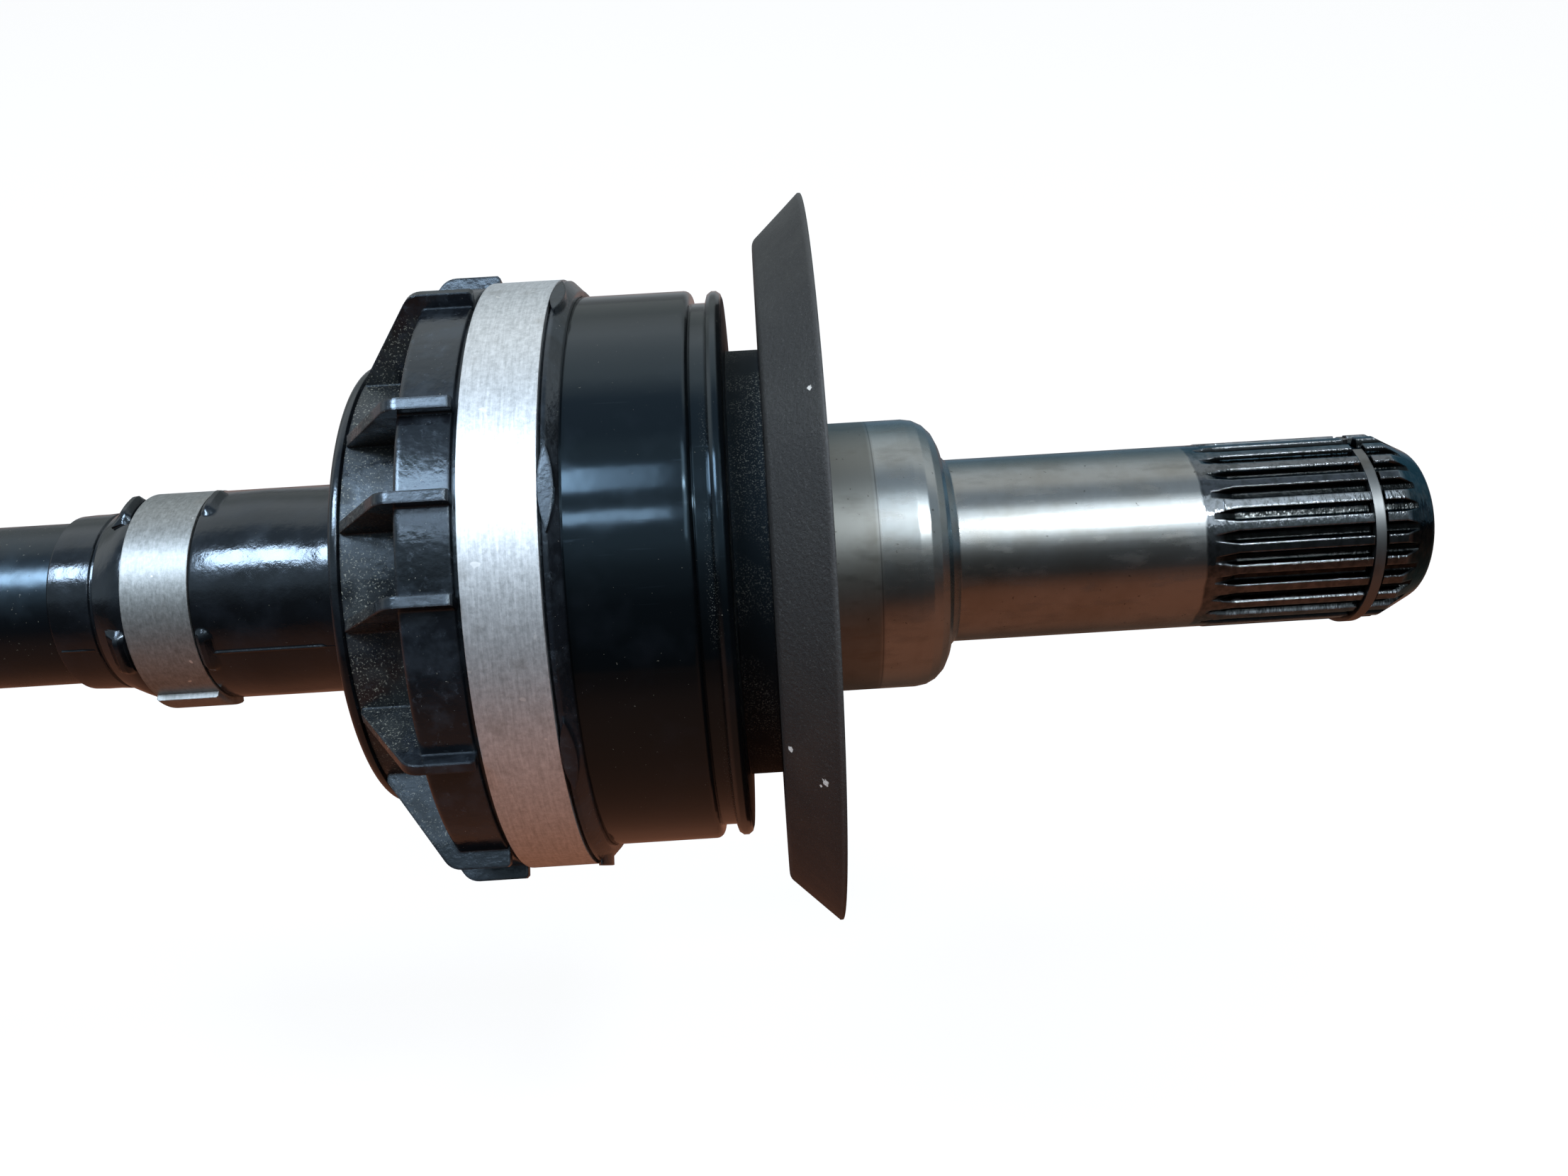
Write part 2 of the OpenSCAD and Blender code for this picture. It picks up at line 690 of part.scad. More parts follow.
module outer_balls() {
    color("#b8babd")
    balls(outer_centre, outer_pitch_r, outer_ball_r, [for (i = [0:ball_count - 1]) i * 360 / ball_count]);
}

module outer_race_circlip() {
    race_ring(outer_centre - outer_race_half - seat_gap - race_ring_t);
}

// Washer and ring between the outer race and the shaft's shoulder
washer_t = 1.2;
washer_dish = 0.8;
washer_start = outer_centre + outer_race_half + seat_gap;
thrust_t = 4;
thrust_start = washer_start + washer_t + washer_dish + seat_gap;
thrust_end = thrust_start + thrust_t;
ring_in_r = shaft_end_r + seat_gap;
washer_w = 4.85;
thrust_w = 3.85;

// Dished spring washer
module outer_dished_washer() {
    rim = ring_in_r + washer_w;
    color("#6c6e72")
    lathe([[ring_in_r, washer_start], [rim, washer_start + washer_dish],
           [rim, washer_start + washer_dish + washer_t], [ring_in_r, washer_start + washer_t]]);
}

// Plastic thrust ring
module outer_thrust_ring() {
    color("#d8d2bd") tube(ring_in_r + thrust_w, ring_in_r, thrust_start, thrust_end);
}

// Wheel stub stations
wheel_spline_start = hub_face - 8;
wheel_spline_end = wheel_spline_start - wheel_spline_len;
thread_start = wheel_spline_end - 3;
thread_end = thread_start - thread_len;
boot_seat_r = bell_r - 1.5;

// Wheel side: bell with six curved tracks, hub shoulder, spline and threaded end in one forging
module outer_housing() {
    edge = 1;
    taper_start = outer_centre - 16;
    bore_depth = bell_bore_r * 0.8;
    track_end = 44;
    color("#17181a")
    difference() {
        lathe(concat(
            [[0, thread_end], [thread_r - edge, thread_end], [thread_r, thread_end + edge],
             [thread_r, thread_start], [thread_r - 0.6, thread_start],
             [thread_r - 0.6, wheel_spline_end - 0.5], [spline_r - edge, wheel_spline_end],
             [spline_r, wheel_spline_end + edge], [spline_r, wheel_spline_start],
             [spline_r + 0.35, wheel_spline_start + 0.4], [spline_r + 0.35, hub_face - 0.6],
             [spline_r + 1, hub_face]],
            arc(hub_face + 1.5, hub_face_r - 1.5, 1.5, 180, 90),
            [[hub_face_r, hub_face + 6], [hub_face_r + 6, hub_face + 11]],
            arc(taper_start, bell_r - 12, 12, 150, 90),
            [[bell_r, outer_centre + bell_mouth_dist - big_cuff_len - 0.2],
             [boot_seat_r, outer_centre + bell_mouth_dist - big_cuff_len],
             [boot_seat_r, bell_mouth - edge], [boot_seat_r - edge, bell_mouth]],
            ball_arc(outer_centre, bell_bore_r, bell_mouth_dist, -bore_depth),
            [[0, outer_centre - bore_depth]]));
        ball_tracks(outer_centre, outer_pitch_r, outer_track_r, track_end);
        spline_grooves(spline_teeth, spline_r, spline_depth, wheel_spline_start, wheel_spline_end - over);
        translate([thread_end + 6, 0, -bell_r]) cylinder(r = pin_hole_r, h = 2 * bell_r);
        centre_drilling(thread_end, 1);
    }
}

// Stations of the outer boot
big_cuff_start = bell_mouth - big_cuff_len + seat_gap;
big_cuff_r = boot_seat_r + seat_gap + cuff_wall;
bellows_start = bell_mouth + cuff_wall;
bellows_end = bellows_start + bellows_len;
small_cuff_r = shaft_r + seat_gap + cuff_wall;
small_cuff_end = bellows_end + small_cuff_len;

// Middle of the bellows' wall at a fraction t from the large end to the small end
function fold_r(t) =
    mix(big_cuff_r - fold_h_big / 2 - 1, shaft_r + fold_h_small / 2 + 2.5, t)
    + mix(fold_h_big, fold_h_small, t) / 2 * cos(360 * folds * t);

// Bellows boot with a cuff at each end
module outer_boot() {
    steps = folds * 8;
    half = 1;
    color("#141416")
    lathe(concat(
        [[boot_seat_r + seat_gap, big_cuff_start], [big_cuff_r, big_cuff_start],
         [big_cuff_r, bell_mouth + 0.5]],
        [for (i = [0:steps]) [fold_r(i / steps) + half, bellows_start + bellows_len * i / steps]],
        [[small_cuff_r, bellows_end + 2], [small_cuff_r, small_cuff_end],
         [shaft_r + seat_gap, small_cuff_end], [shaft_r + seat_gap, bellows_end]],
        [for (i = [steps:-1:0]) [fold_r(i / steps) - half, bellows_start + bellows_len * i / steps]],
        [[boot_seat_r - 4, bell_mouth + seat_gap], [boot_seat_r + seat_gap, bell_mouth + seat_gap]]));
}

// Band tightened by a crimped ear
module eared_band(r, t, mid, w) {
    foot = 3.4;
    waist = 1.9;
    ear_h = 4.2;
    fold = t * 0.9;
    base = r + t / 2;
    union() {
        tube(r + t, r, mid - w / 2, mid + w / 2);
        translate([mid - w / 2, 0, 0])
            rotate([90, 0, 90])
                linear_extrude(w)
                    polygon([[-foot - fold, base], [-foot - fold, r + t * 1.8], [-waist - fold, r + t * 2.6],
                             [-waist - fold, r + ear_h - fold], [-waist, r + ear_h], [waist, r + ear_h],
                             [waist + fold, r + ear_h - fold], [waist + fold, r + t * 2.6],
                             [foot + fold, r + t * 1.8], [foot + fold, base]]);
    }
}

module outer_clamp_large() {
    mid = (big_cuff_start + bell_mouth) / 2;
    color("#c4c5c4")
    eared_band(big_cuff_r + seat_gap, band_t, mid, outer_band_w);
}

module outer_clamp_small() {
    mid = (bellows_end + 2 + small_cuff_end) / 2;
    color("#c4c5c4")
    eared_band(small_cuff_r + seat_gap, small_band_t, mid, outer_band_w);
}

inner_housing();
dust_shield();
stub_circlip();
inner_seal_ring();
inner_boot_cap();
inner_clamp_large();
inner_plunge_balls();
inner_cage_balls();
inner_cage();
inner_race();
inner_race_circlip();
inner_stop_ring();
inner_boot();
inner_clamp_small();
shaft();
outer_race();
outer_cage();
outer_balls();
outer_race_circlip();
outer_dished_washer();
outer_thrust_ring();
outer_housing();
outer_boot();
outer_clamp_large();
outer_clamp_small();
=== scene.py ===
from collections import namedtuple
from math import cos, hypot, pi, radians, sin, tan

import bmesh
import bpy
from mathutils import Matrix, Vector


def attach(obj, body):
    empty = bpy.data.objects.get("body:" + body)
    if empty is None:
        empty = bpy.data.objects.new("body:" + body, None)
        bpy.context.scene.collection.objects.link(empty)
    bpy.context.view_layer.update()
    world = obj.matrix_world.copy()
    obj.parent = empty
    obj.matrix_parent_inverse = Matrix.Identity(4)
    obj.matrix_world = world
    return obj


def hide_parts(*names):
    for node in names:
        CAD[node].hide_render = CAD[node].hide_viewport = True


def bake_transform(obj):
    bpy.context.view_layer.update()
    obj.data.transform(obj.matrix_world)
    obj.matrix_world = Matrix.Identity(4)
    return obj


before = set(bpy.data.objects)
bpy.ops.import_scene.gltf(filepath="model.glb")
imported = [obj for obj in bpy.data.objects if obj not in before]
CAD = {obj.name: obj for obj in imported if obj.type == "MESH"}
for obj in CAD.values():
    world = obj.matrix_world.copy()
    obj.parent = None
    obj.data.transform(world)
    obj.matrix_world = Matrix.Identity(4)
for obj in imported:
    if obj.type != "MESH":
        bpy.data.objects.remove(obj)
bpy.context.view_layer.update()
MM = 0.001

# Stations along the axis in millimetres, as the source has them
RIM_GROOVE_EDGE = -20.6
RIM_FACE = -18.1
SHIELD_FACE = -13.0
SCRIBE = 3.3
SHOULDER_END = 14.8
SPLINE_START = 54.3
CAP_FRONT = -71.85
CAP_STEP = -61.35
BOOT_FRONT = -73.7
BAND_FRONT = -101.0
BAND_BACK = -111.2
BOOT_END = -123.9
BELL_MOUTH = -458.2
HUB_FACE = -518.2
THREAD = (-592.4, -572.6)
PIN_HOLE = -588.2

# A station that lies past either end
BEYOND = 1000.0

# Radii in millimetres
SHIELD_RIM_R = 57.7
CAP_RECESS_R = (34.0, 45.0)
NECK_R = 16.9
SPLINE_R = 15.05
THREAD_R = 11.0
PIN_HOLE_R = 2.6


def linear(colour):
    """sRGB hex to the linear colour that a shader takes."""
    parts = [int(colour[i:i + 2], 16) / 255 for i in (1, 3, 5)]
    return tuple(c / 12.92 if c <= 0.04045 else ((c + 0.055) / 1.055) ** 2.4 for c in parts) + (1.0,)


def plug(tree, node, inputs):
    """Gives each input of a node, by name or number, its link, its hex colour or its value."""
    for name, value in inputs.items():
        if isinstance(value, bpy.types.NodeSocket):
            tree.links.new(value, node.inputs[name])
        else:
            node.inputs[name].default_value = linear(value) if isinstance(value, str) else value


def add(tree, kind, inputs=None, **settings):
    """Adds a node with its settings and what goes into it."""
    node = tree.nodes.new("ShaderNode" + kind)
    for name, value in settings.items():
        setattr(node, name, value)
    plug(tree, node, inputs or {})
    return node


def start_finish(name):
    """A new material with its tree and shader."""
    material = bpy.data.materials.new(name)
    material.use_nodes = True
    return material, material.node_tree, material.node_tree.nodes["Principled BSDF"]


Around = namedtuple("Around", "x angle away place")


def round_the_axis(tree):
    """Where a point lies on the part in millimetres: x along the axis, angle round it in radians,
    how far away from it, and the place as a vector."""
    metres = add(tree, "TexCoord").outputs["Object"]
    place = add(tree, "VectorMath", {0: metres, "Scale": 1 / MM}, operation="SCALE").outputs[0]
    x, y, z = add(tree, "SeparateXYZ", {0: place}).outputs
    angle = add(tree, "Math", {0: z, 1: y}, operation="ARCTAN2").outputs[0]
    flat = add(tree, "CombineXYZ", {1: y, 2: z}).outputs[0]
    away = add(tree, "VectorMath", {0: flat}, operation="LENGTH").outputs["Value"]
    return Around(x, angle, away, place)


def zone(tree, value, start, end, soft=0.2):
    """1 where value lies between start and end, 0 elsewhere, with a soft edge."""
    rising = {"Value": value, "From Min": start - soft, "From Max": start + soft}
    falling = {"Value": value, "From Min": end - soft, "From Max": end + soft, "To Min": 1.0, "To Max": 0.0}
    rise, fall = (add(tree, "MapRange", side).outputs[0] for side in (rising, falling))
    return add(tree, "Math", {0: rise, 1: fall}, operation="MULTIPLY").outputs[0]


def patches(tree, where, per_mm, low, high, detail=3.0, rough=0.55):
    """Noise of a real size, so many to the millimetre, cut to soft-edged patches from 0 to 1."""
    cloud = {"Vector": where, "Scale": per_mm, "Detail": detail, "Roughness": rough}
    noise = add(tree, "TexNoise", cloud).outputs["Fac"]
    return add(tree, "MapRange", {"Value": noise, "From Min": low, "From Max": high}).outputs[0]


def turning_lines(tree, at, per_mm, per_radian=1.2, detail=2.0, rough=0.6):
    """Lines left round the part by the lathe or by drawing, so many to the millimetre: real ones are finer,
    and these are drawn as coarse as they need to show."""
    unrolled = add(tree, "CombineXYZ", {0: at.x, 1: at.angle}).outputs[0]
    scale = {0: unrolled, 1: (per_mm, per_radian, 0.0)}
    where = add(tree, "VectorMath", scale, operation="MULTIPLY").outputs[0]
    streaks = {"Vector": where, "Scale": 1.0, "Detail": detail, "Roughness": rough}
    return add(tree, "TexNoise", streaks).outputs["Fac"]


def chip(tree, place, x, r, elevation, size):
    """1 in a ragged chip of the given width at a station, radius and angle, where 0 degrees is the front
    and 90 the top."""
    centre = (x, -r * cos(radians(elevation)), r * sin(radians(elevation)))
    ragged = add(tree, "TexNoise", {"Vector": place, "Scale": 1.6, "Detail": 2.0}).outputs["Color"]
    pushed = {0: ragged, 1: (size, size, size), 2: place}
    moved = add(tree, "VectorMath", pushed, operation="MULTIPLY_ADD").outputs[0]
    reach = {0: moved, 1: tuple(c + size / 2 for c in centre)}
    gap = add(tree, "VectorMath", reach, operation="DISTANCE").outputs["Value"]
    return add(tree, "MapRange", {"Value": gap, "From Min": size * 0.55, "From Max": size * 0.4}).outputs[0]


def layered(tree, base, *coats):
    """Colour or number of a finish: the base, then each coat over it as (value, share, further shares).
    A coat covers by the product of its shares, which are masks or plain numbers from 0 to 1."""
    number = isinstance(base, (float, int)) or getattr(base, "type", "") == "VALUE"
    for value, share, *others in coats:
        for other in others:
            share = add(tree, "Math", {0: share, 1: other}, operation="MULTIPLY").outputs[0]
        if number:
            base = add(tree, "Mix", {0: share, 2: base, 3: value}).outputs[0]
        else:
            base = add(tree, "Mix", {0: share, 6: base, 7: value}, data_type="RGBA").outputs[2]
    return base


def relief(tree, height, depth_mm, edge_mm):
    """Surface relief from a height of 0 to 1, on edges that are broken by edge_mm."""
    edge = add(tree, "Bevel", {"Radius": edge_mm * MM}, samples=4).outputs[0]
    shape = {"Height": height, "Distance": depth_mm * MM, "Strength": 1.0, "Normal": edge}
    return add(tree, "Bump", shape).outputs[0]


# Blue casts that the photograph's daylight takes in the gloss paint, the nylon and the rubber
PAINT_CAST = "#c3e7ff"
NYLON_CAST = "#dcf0ff"
RUBBER_CAST = "#def0ff"


def gloss_paint(tree, at, dust):
    """Colour of gloss black paint with rub marks and specks of dust, and the shares of both."""
    rub = patches(tree, at.place, 0.12, 0.52, 0.72)
    speck = patches(tree, at.place, 1.6, 0.70, 0.76, 2.0)
    return layered(tree, "#050608", ("#0b0e11", rub), ("#6d6a5e", speck, dust)), rub, speck


def orange_peel(tree, at, per_mm):
    """Faint waves that spray paint dries with."""
    return add(tree, "TexNoise", {"Vector": at.place, "Scale": per_mm, "Detail": 1.0}).outputs["Fac"]


# Painted bar: near-black paint, softer than the cup's, with faint orange peel, rub marks and dust
def painted_bar(name):
    material, tree, shader = start_finish(name)
    at = round_the_axis(tree)
    paint, rub, speck = gloss_paint(tree, at, 0.45)
    plug(tree, shader, {
        "Base Color": paint, "Roughness": layered(tree, 0.24, (0.5, speck), (0.34, rub)),
        "Specular Tint": PAINT_CAST, "Normal": relief(tree, orange_peel(tree, at, 0.45), 0.03, 0.35)})
    return material


# Outer forging: gloss paint on the bell, machined and oiled steel on the wheel spline and its thread
def wheel_forging(name):
    material, tree, shader = start_finish(name)
    at = round_the_axis(tree)
    paint, rub, _ = gloss_paint(tree, at, 0.35)
    lines = turning_lines(tree, at, 4.0)
    oil = patches(tree, at.place, 0.3, 0.42, 0.66, 4.0)
    steel = layered(tree, "#8d8f8f", ("#6f6d67", oil), ("#4c4a46", lines, 0.1))
    paint_rough = layered(tree, 0.14, (0.24, rub))
    steel_rough = layered(tree, 0.34, (0.24, oil))
    faint_lines = layered(tree, 0.0, (0.04, lines))
    machined = zone(tree, at.x, -BEYOND, HUB_FACE, 0.1)
    height = layered(tree, orange_peel(tree, at, 0.45), (faint_lines, machined))
    plug(tree, shader, {
        "Base Color": layered(tree, paint, (steel, machined)),
        "Roughness": layered(tree, paint_rough, (steel_rough, machined)),
        "Metallic": machined, "Specular Tint": PAINT_CAST, "Normal": relief(tree, height, 0.03, 0.3)})
    return material


def cup_paint(tree, at):
    """Colour and roughness of the cup: gloss black with fine scratches, soot and grit on the shoulder
    behind its rim, and dust settled beside the rim's groove."""
    rub = patches(tree, at.place, 0.12, 0.52, 0.72)
    speck = patches(tree, at.place, 2.4, 0.74, 0.78, 2.0)
    slanted = {"Vector": at.place, "Rotation": (0.3, 0.5, 0.9), "Scale": (0.08, 2.2, 2.2)}
    scratch = patches(tree, add(tree, "Mapping", slanted).outputs[0], 0.8, 0.70, 0.74, 1.0)
    grit = patches(tree, at.place, 4.2, 0.54, 0.64, 4.0)
    gritty_part = patches(tree, at.place, 0.12, 0.40, 0.60, 2.0)
    soot = layered(tree, "#08090a", ("#7b7b72", grit, gritty_part))
    sooty = zone(tree, at.x, RIM_FACE, SHIELD_FACE + 0.3)
    corner = zone(tree, at.x, RIM_GROOVE_EDGE - 0.9, RIM_GROOVE_EDGE + 0.4, 0.3)
    dusty_part = patches(tree, at.place, 0.05, 0.45, 0.6, 2.0)
    dust = patches(tree, at.place, 4.5, 0.58, 0.68, 3.0)
    colour = layered(tree, "#030405", ("#080a0d", rub), ("#7a776c", speck, 0.4), (soot, sooty),
                     ("#6f6f66", corner, dusty_part, dust, 0.5))
    rough = layered(tree, 0.1, (0.16, rub), (0.22, scratch), (0.7, sooty), (0.5, corner, dusty_part, dust))
    return colour, rough


def journal_steel(tree, at, lines):
    """Colour and roughness of the stub: dull worn seat beside the shield, brighter shoulder, a fine
    scribed line between them, and the polished bearing journal, all stained and smeared by handling."""
    stain = patches(tree, at.place, 0.07, 0.42, 0.66, 4.0, 0.65)
    drawn_out = {"Vector": at.place, "Rotation": (0.0, 0.4, 0.7), "Scale": (0.35, 1.0, 1.0)}
    smear = patches(tree, add(tree, "Mapping", drawn_out).outputs[0], 0.4, 0.52, 0.72, 3.0)
    fleck = patches(tree, at.place, 1.1, 0.71, 0.75, 2.0)
    shoulder_here = zone(tree, at.x, SHIELD_FACE, SHOULDER_END, 0.2)
    seat_here = zone(tree, at.x, SHIELD_FACE, SCRIBE, 0.5)
    scribed = zone(tree, at.x, SCRIBE, SCRIBE + 0.12, 0.1)
    journal = layered(tree, "#949695", ("#868580", stain), ("#6a6761", smear, 0.35))
    shoulder = layered(tree, "#979b9b", ("#868682", stain), ("#6a6761", smear, 0.35))
    seat = layered(tree, "#7a7b77", ("#6b6a64", stain), ("#55524b", smear, 0.4))
    colour = layered(tree, journal, (shoulder, shoulder_here), (seat, seat_here), ("#3b3833", fleck, 0.6),
                     ("#5b5750", lines, 0.1), ("#2f2c28", scribed, 0.7))
    journal_rough = layered(tree, 0.24, (0.36, smear))
    shoulder_rough = layered(tree, 0.25, (0.33, smear))
    seat_rough = layered(tree, 0.42, (0.34, smear))
    return colour, layered(tree, journal_rough, (shoulder_rough, shoulder_here), (seat_rough, seat_here))


def spline_steel(tree, at):
    """Colour and roughness of the teeth under a film of black oil: greyer crests, and grooves painted near
    black as shade between the teeth.
    """
    oil = patches(tree, at.place, 0.9, 0.42, 0.62, 3.0)
    crest_here = zone(tree, at.away, SPLINE_R - 0.35, SPLINE_R + 1, 0.25)
    # Grooves painted near black: painted shade between the teeth
    groove = layered(tree, "#1c1e1e", ("#2a2c2c", oil))
    crest = layered(tree, "#64676a", ("#4f5253", oil))
    return layered(tree, groove, (crest, crest_here)), layered(tree, 0.05, (0.11, oil))


# Inner forging: gloss paint on the cup, sooty shoulder, turned and polished steel, oiled black spline with
# painted shade in its grooves
def stub_forging(name):
    material, tree, shader = start_finish(name)
    at = round_the_axis(tree)
    lines = turning_lines(tree, at, 4.0)
    paint, paint_rough = cup_paint(tree, at)
    steel, steel_rough = journal_steel(tree, at, lines)
    spline, spline_rough = spline_steel(tree, at)
    steel_here = zone(tree, at.x, SHIELD_FACE, BEYOND, 0.05)
    edge = add(tree, "TexNoise", {"Vector": at.place, "Scale": 0.25, "Detail": 1.0}).outputs["Fac"]
    wavy = add(tree, "Math", {0: at.x, 1: edge}, operation="ADD").outputs[0]
    spline_here = zone(tree, wavy, SPLINE_START + 0.5, BEYOND, 0.2)
    low_peel = layered(tree, 0.0, (0.5, orange_peel(tree, at, 0.3)))
    faint_lines = layered(tree, 0.0, (0.03, lines))
    # Marks of the hob across the teeth, drawn as coarse as they need to show
    hob_marks = layered(tree, 0.0, (1.4, turning_lines(tree, at, 1.6, 9.0)))
    height = layered(tree, low_peel, (faint_lines, steel_here), (hob_marks, spline_here))
    plug(tree, shader, {
        "Base Color": layered(tree, paint, (steel, steel_here), (spline, spline_here)),
        "Roughness": layered(tree, paint_rough, (steel_rough, steel_here), (spline_rough, spline_here)),
        "Metallic": steel_here, "Specular Tint": PAINT_CAST, "Normal": relief(tree, height, 0.03, 0.42)})
    return material


# Swaged aluminium band: bright satin, drawn round with fine lines, mottled by handling and faint stains
def satin_band(name, light, deep, roughness):
    material, tree, shader = start_finish(name)
    at = round_the_axis(tree)
    drawn = turning_lines(tree, at, 2.6, 9.0, 4.0, 0.7)
    cloud = {"Vector": at.place, "Scale": 1.3, "Detail": 5.0, "Roughness": 0.75}
    grain = layered(tree, drawn, (add(tree, "TexNoise", cloud).outputs["Fac"], 0.55))
    mottle = add(tree, "MapRange", {"Value": grain, "From Min": 0.38, "From Max": 0.62}).outputs[0]
    stain = patches(tree, at.place, 0.16, 0.58, 0.70, 4.0)
    mark = patches(tree, at.place, 0.35, 0.70, 0.73, 2.0)
    plug(tree, shader, {
        "Base Color": layered(tree, deep, (light, mottle), ("#8b8984", stain, 0.35), ("#f0f0ee", mark, 0.6)),
        "Roughness": layered(tree, roughness - 0.08, (roughness + 0.08, grain)),
        "Metallic": 0.85, "Normal": relief(tree, grain, 0.03, 0.25)})
    return material


# The larger chips in the shield's coat, each with its station, radius, angle and width
SHIELD_CHIPS = ((-12.0, 51.7, 11.0, 0.8), (-7.7, 55.5, 8.0, 1.1), (-8.3, 55.0, 7.0, 0.6),
                (-7.0, 56.2, 61.0, 0.7))


# Pressed sheet with a rough matt black coat: charcoal, gritty, paler along its edges, chipped at its foot
def gritty_coat(name):
    material, tree, shader = start_finish(name)
    at = round_the_axis(tree)
    sand = {"Vector": at.place, "Scale": 1.5, "Detail": 5.0, "Roughness": 0.75}
    grit = add(tree, "TexNoise", sand).outputs["Fac"]
    pale = patches(tree, at.place, 3.2, 0.60, 0.72, 3.0)
    rub = patches(tree, at.place, 0.08, 0.45, 0.7, 3.0)
    rim = zone(tree, at.away, SHIELD_RIM_R - 0.3, SHIELD_RIM_R + 1, 0.15)
    chips = [("#c9c6c0", chip(tree, at.place, *place)) for place in SHIELD_CHIPS]
    colour = layered(tree, "#161717", ("#212221", rub), ("#545452", pale, 0.35), ("#6a6866", rim, 0.12),
                     *chips)
    plug(tree, shader, {
        "Base Color": colour, "Roughness": layered(tree, 0.56, (0.44, rub)),
        "Normal": relief(tree, grit, 0.16, 0.3)})
    return material


# Moulded glass-filled nylon: near-black with a cool sheen and scuffs, dust caught behind the ribs
def moulded_cap(name):
    material, tree, shader = start_finish(name)
    at = round_the_axis(tree)
    flow = patches(tree, at.place, 0.10, 0.4, 0.7, 3.0)
    scuff = patches(tree, at.place, 0.7, 0.58, 0.74, 5.0, 0.7)
    wiped = patches(tree, at.place, 0.16, 0.50, 0.62, 4.0, 0.6)
    recess = (zone(tree, at.x, CAP_FRONT - 1.0, CAP_STEP - 0.3, 0.4), zone(tree, at.away, *CAP_RECESS_R, 0.6))
    film = (*recess, patches(tree, at.place, 0.25, 0.35, 0.65, 4.0))
    crumbs = patches(tree, at.place, 3.2, 0.58, 0.64, 4.0, 0.7)
    loose = patches(tree, at.place, 2.4, 0.71, 0.75, 3.0)
    colour = layered(tree, "#0a0c0f", ("#12151a", flow), ("#3a4148", scuff, 0.5), ("#2c333a", wiped, 0.3),
                     ("#22221d", *film, 0.6), ("#85857a", crumbs, *recess, 0.8), ("#85857c", loose, 0.6))
    grain = add(tree, "TexNoise", {"Vector": at.place, "Scale": 0.9, "Detail": 4.0}).outputs["Fac"]
    plug(tree, shader, {
        "Base Color": colour, "Roughness": layered(tree, 0.17, (0.38, scuff), (0.27, wiped), (0.6, *film)),
        "IOR": 1.57, "Specular Tint": NYLON_CAST, "Normal": relief(tree, grain, 0.05, 0.5)})
    return material


# Moulded boot rubber: black with a soft wet-looking shine, finger marks and a little dust
def boot_rubber(name):
    material, tree, shader = start_finish(name)
    at = round_the_axis(tree)
    smear = patches(tree, at.place, 0.22, 0.42, 0.7, 3.0)
    speck = patches(tree, at.place, 2.2, 0.70, 0.75, 3.0)
    skin = {"Vector": at.place, "Scale": 0.5, "Detail": 4.0, "Roughness": 0.6}
    grain = add(tree, "TexNoise", skin).outputs["Fac"]
    plug(tree, shader, {
        "Base Color": layered(tree, "#060709", ("#0d1014", smear), ("#5d5c53", speck, 0.3)),
        "Roughness": layered(tree, 0.11, (0.24, smear)),
        "IOR": 1.58, "Specular Tint": RUBBER_CAST, "Normal": relief(tree, grain, 0.05, 0.2)})
    return material


# Ground bearing steel for balls, races and cages: bright grey with fine grinding lines and a grease film
def ground_steel(name, base, worn, roughness):
    material, tree, shader = start_finish(name)
    at = round_the_axis(tree)
    lines = turning_lines(tree, at, 3.0)
    grease = patches(tree, at.place, 0.2, 0.5, 0.7, 3.0)
    plug(tree, shader, {
        "Base Color": layered(tree, base, (worn, grease)),
        "Roughness": layered(tree, roughness, (roughness + 0.14, lines)),
        "Metallic": 1.0, "Normal": relief(tree, lines, 0.004, 0.2)})
    return material


# Plain acetal ring: ivory and waxy
def acetal(name):
    material, tree, shader = start_finish(name)
    at = round_the_axis(tree)
    flow = patches(tree, at.place, 0.2, 0.4, 0.7, 3.0)
    plug(tree, shader, {
        "Base Color": layered(tree, "#d8d0bb", ("#c9bfa6", flow)),
        "Roughness": layered(tree, 0.4, (0.5, flow)), "Normal": relief(tree, flow, 0.02, 0.2)})
    return material


CUP_AND_STUB = stub_forging("forged cup and stub")
BAR_PAINT = painted_bar("painted bar")
BELL_AND_STUB = wheel_forging("painted bell and machined stub")
BAND_SATIN = satin_band("swaged aluminium band", "#dcdfe1", "#b2b6b8", 0.41)
SMALL_SATIN = satin_band("small aluminium band", "#989b9a", "#767978", 0.46)
SHIELD_COAT = gritty_coat("coated shield sheet")
CAP_NYLON = moulded_cap("moulded cap nylon")
RUBBER = boot_rubber("moulded boot rubber")
BALLS = ground_steel("lapped ball steel", "#b9bcc0", "#a3a49f", 0.06)
RACES = ground_steel("ground race steel", "#8d8f92", "#77756c", 0.2)
CAGES = ground_steel("turned cage steel", "#84868a", "#6f6d64", 0.28)
SPRINGS = ground_steel("spring steel ring", "#686a6a", "#585855", 0.34)
RING_ACETAL = acetal("acetal thrust ring")

FINISHES = {
    "inner_housing": CUP_AND_STUB, "dust_shield": SHIELD_COAT, "stub_circlip": SPRINGS,
    "inner_seal_ring": RUBBER, "inner_boot_cap": CAP_NYLON, "inner_clamp_large": BAND_SATIN,
    "inner_clamp_small": SMALL_SATIN, "inner_plunge_balls": BALLS, "inner_cage_balls": BALLS,
    "inner_cage": CAGES, "inner_race": RACES, "inner_race_circlip": SPRINGS, "inner_stop_ring": SPRINGS,
    "inner_boot": RUBBER, "shaft": BAR_PAINT, "outer_race": RACES, "outer_cage": CAGES,
    "outer_balls": BALLS, "outer_race_circlip": SPRINGS, "outer_dished_washer": SPRINGS,
    "outer_thrust_ring": RING_ACETAL, "outer_housing": BELL_AND_STUB, "outer_boot": RUBBER,
    "outer_clamp_large": BAND_SATIN, "outer_clamp_small": SMALL_SATIN,
}
for node, material in FINISHES.items():
    piece = CAD[node]
    for slot in piece.material_slots:
        slot.material = material
    if not piece.material_slots:
        piece.data.materials.append(material)


# Corners that turn by more degrees than this stay sharp
SHARP_CORNER = 35


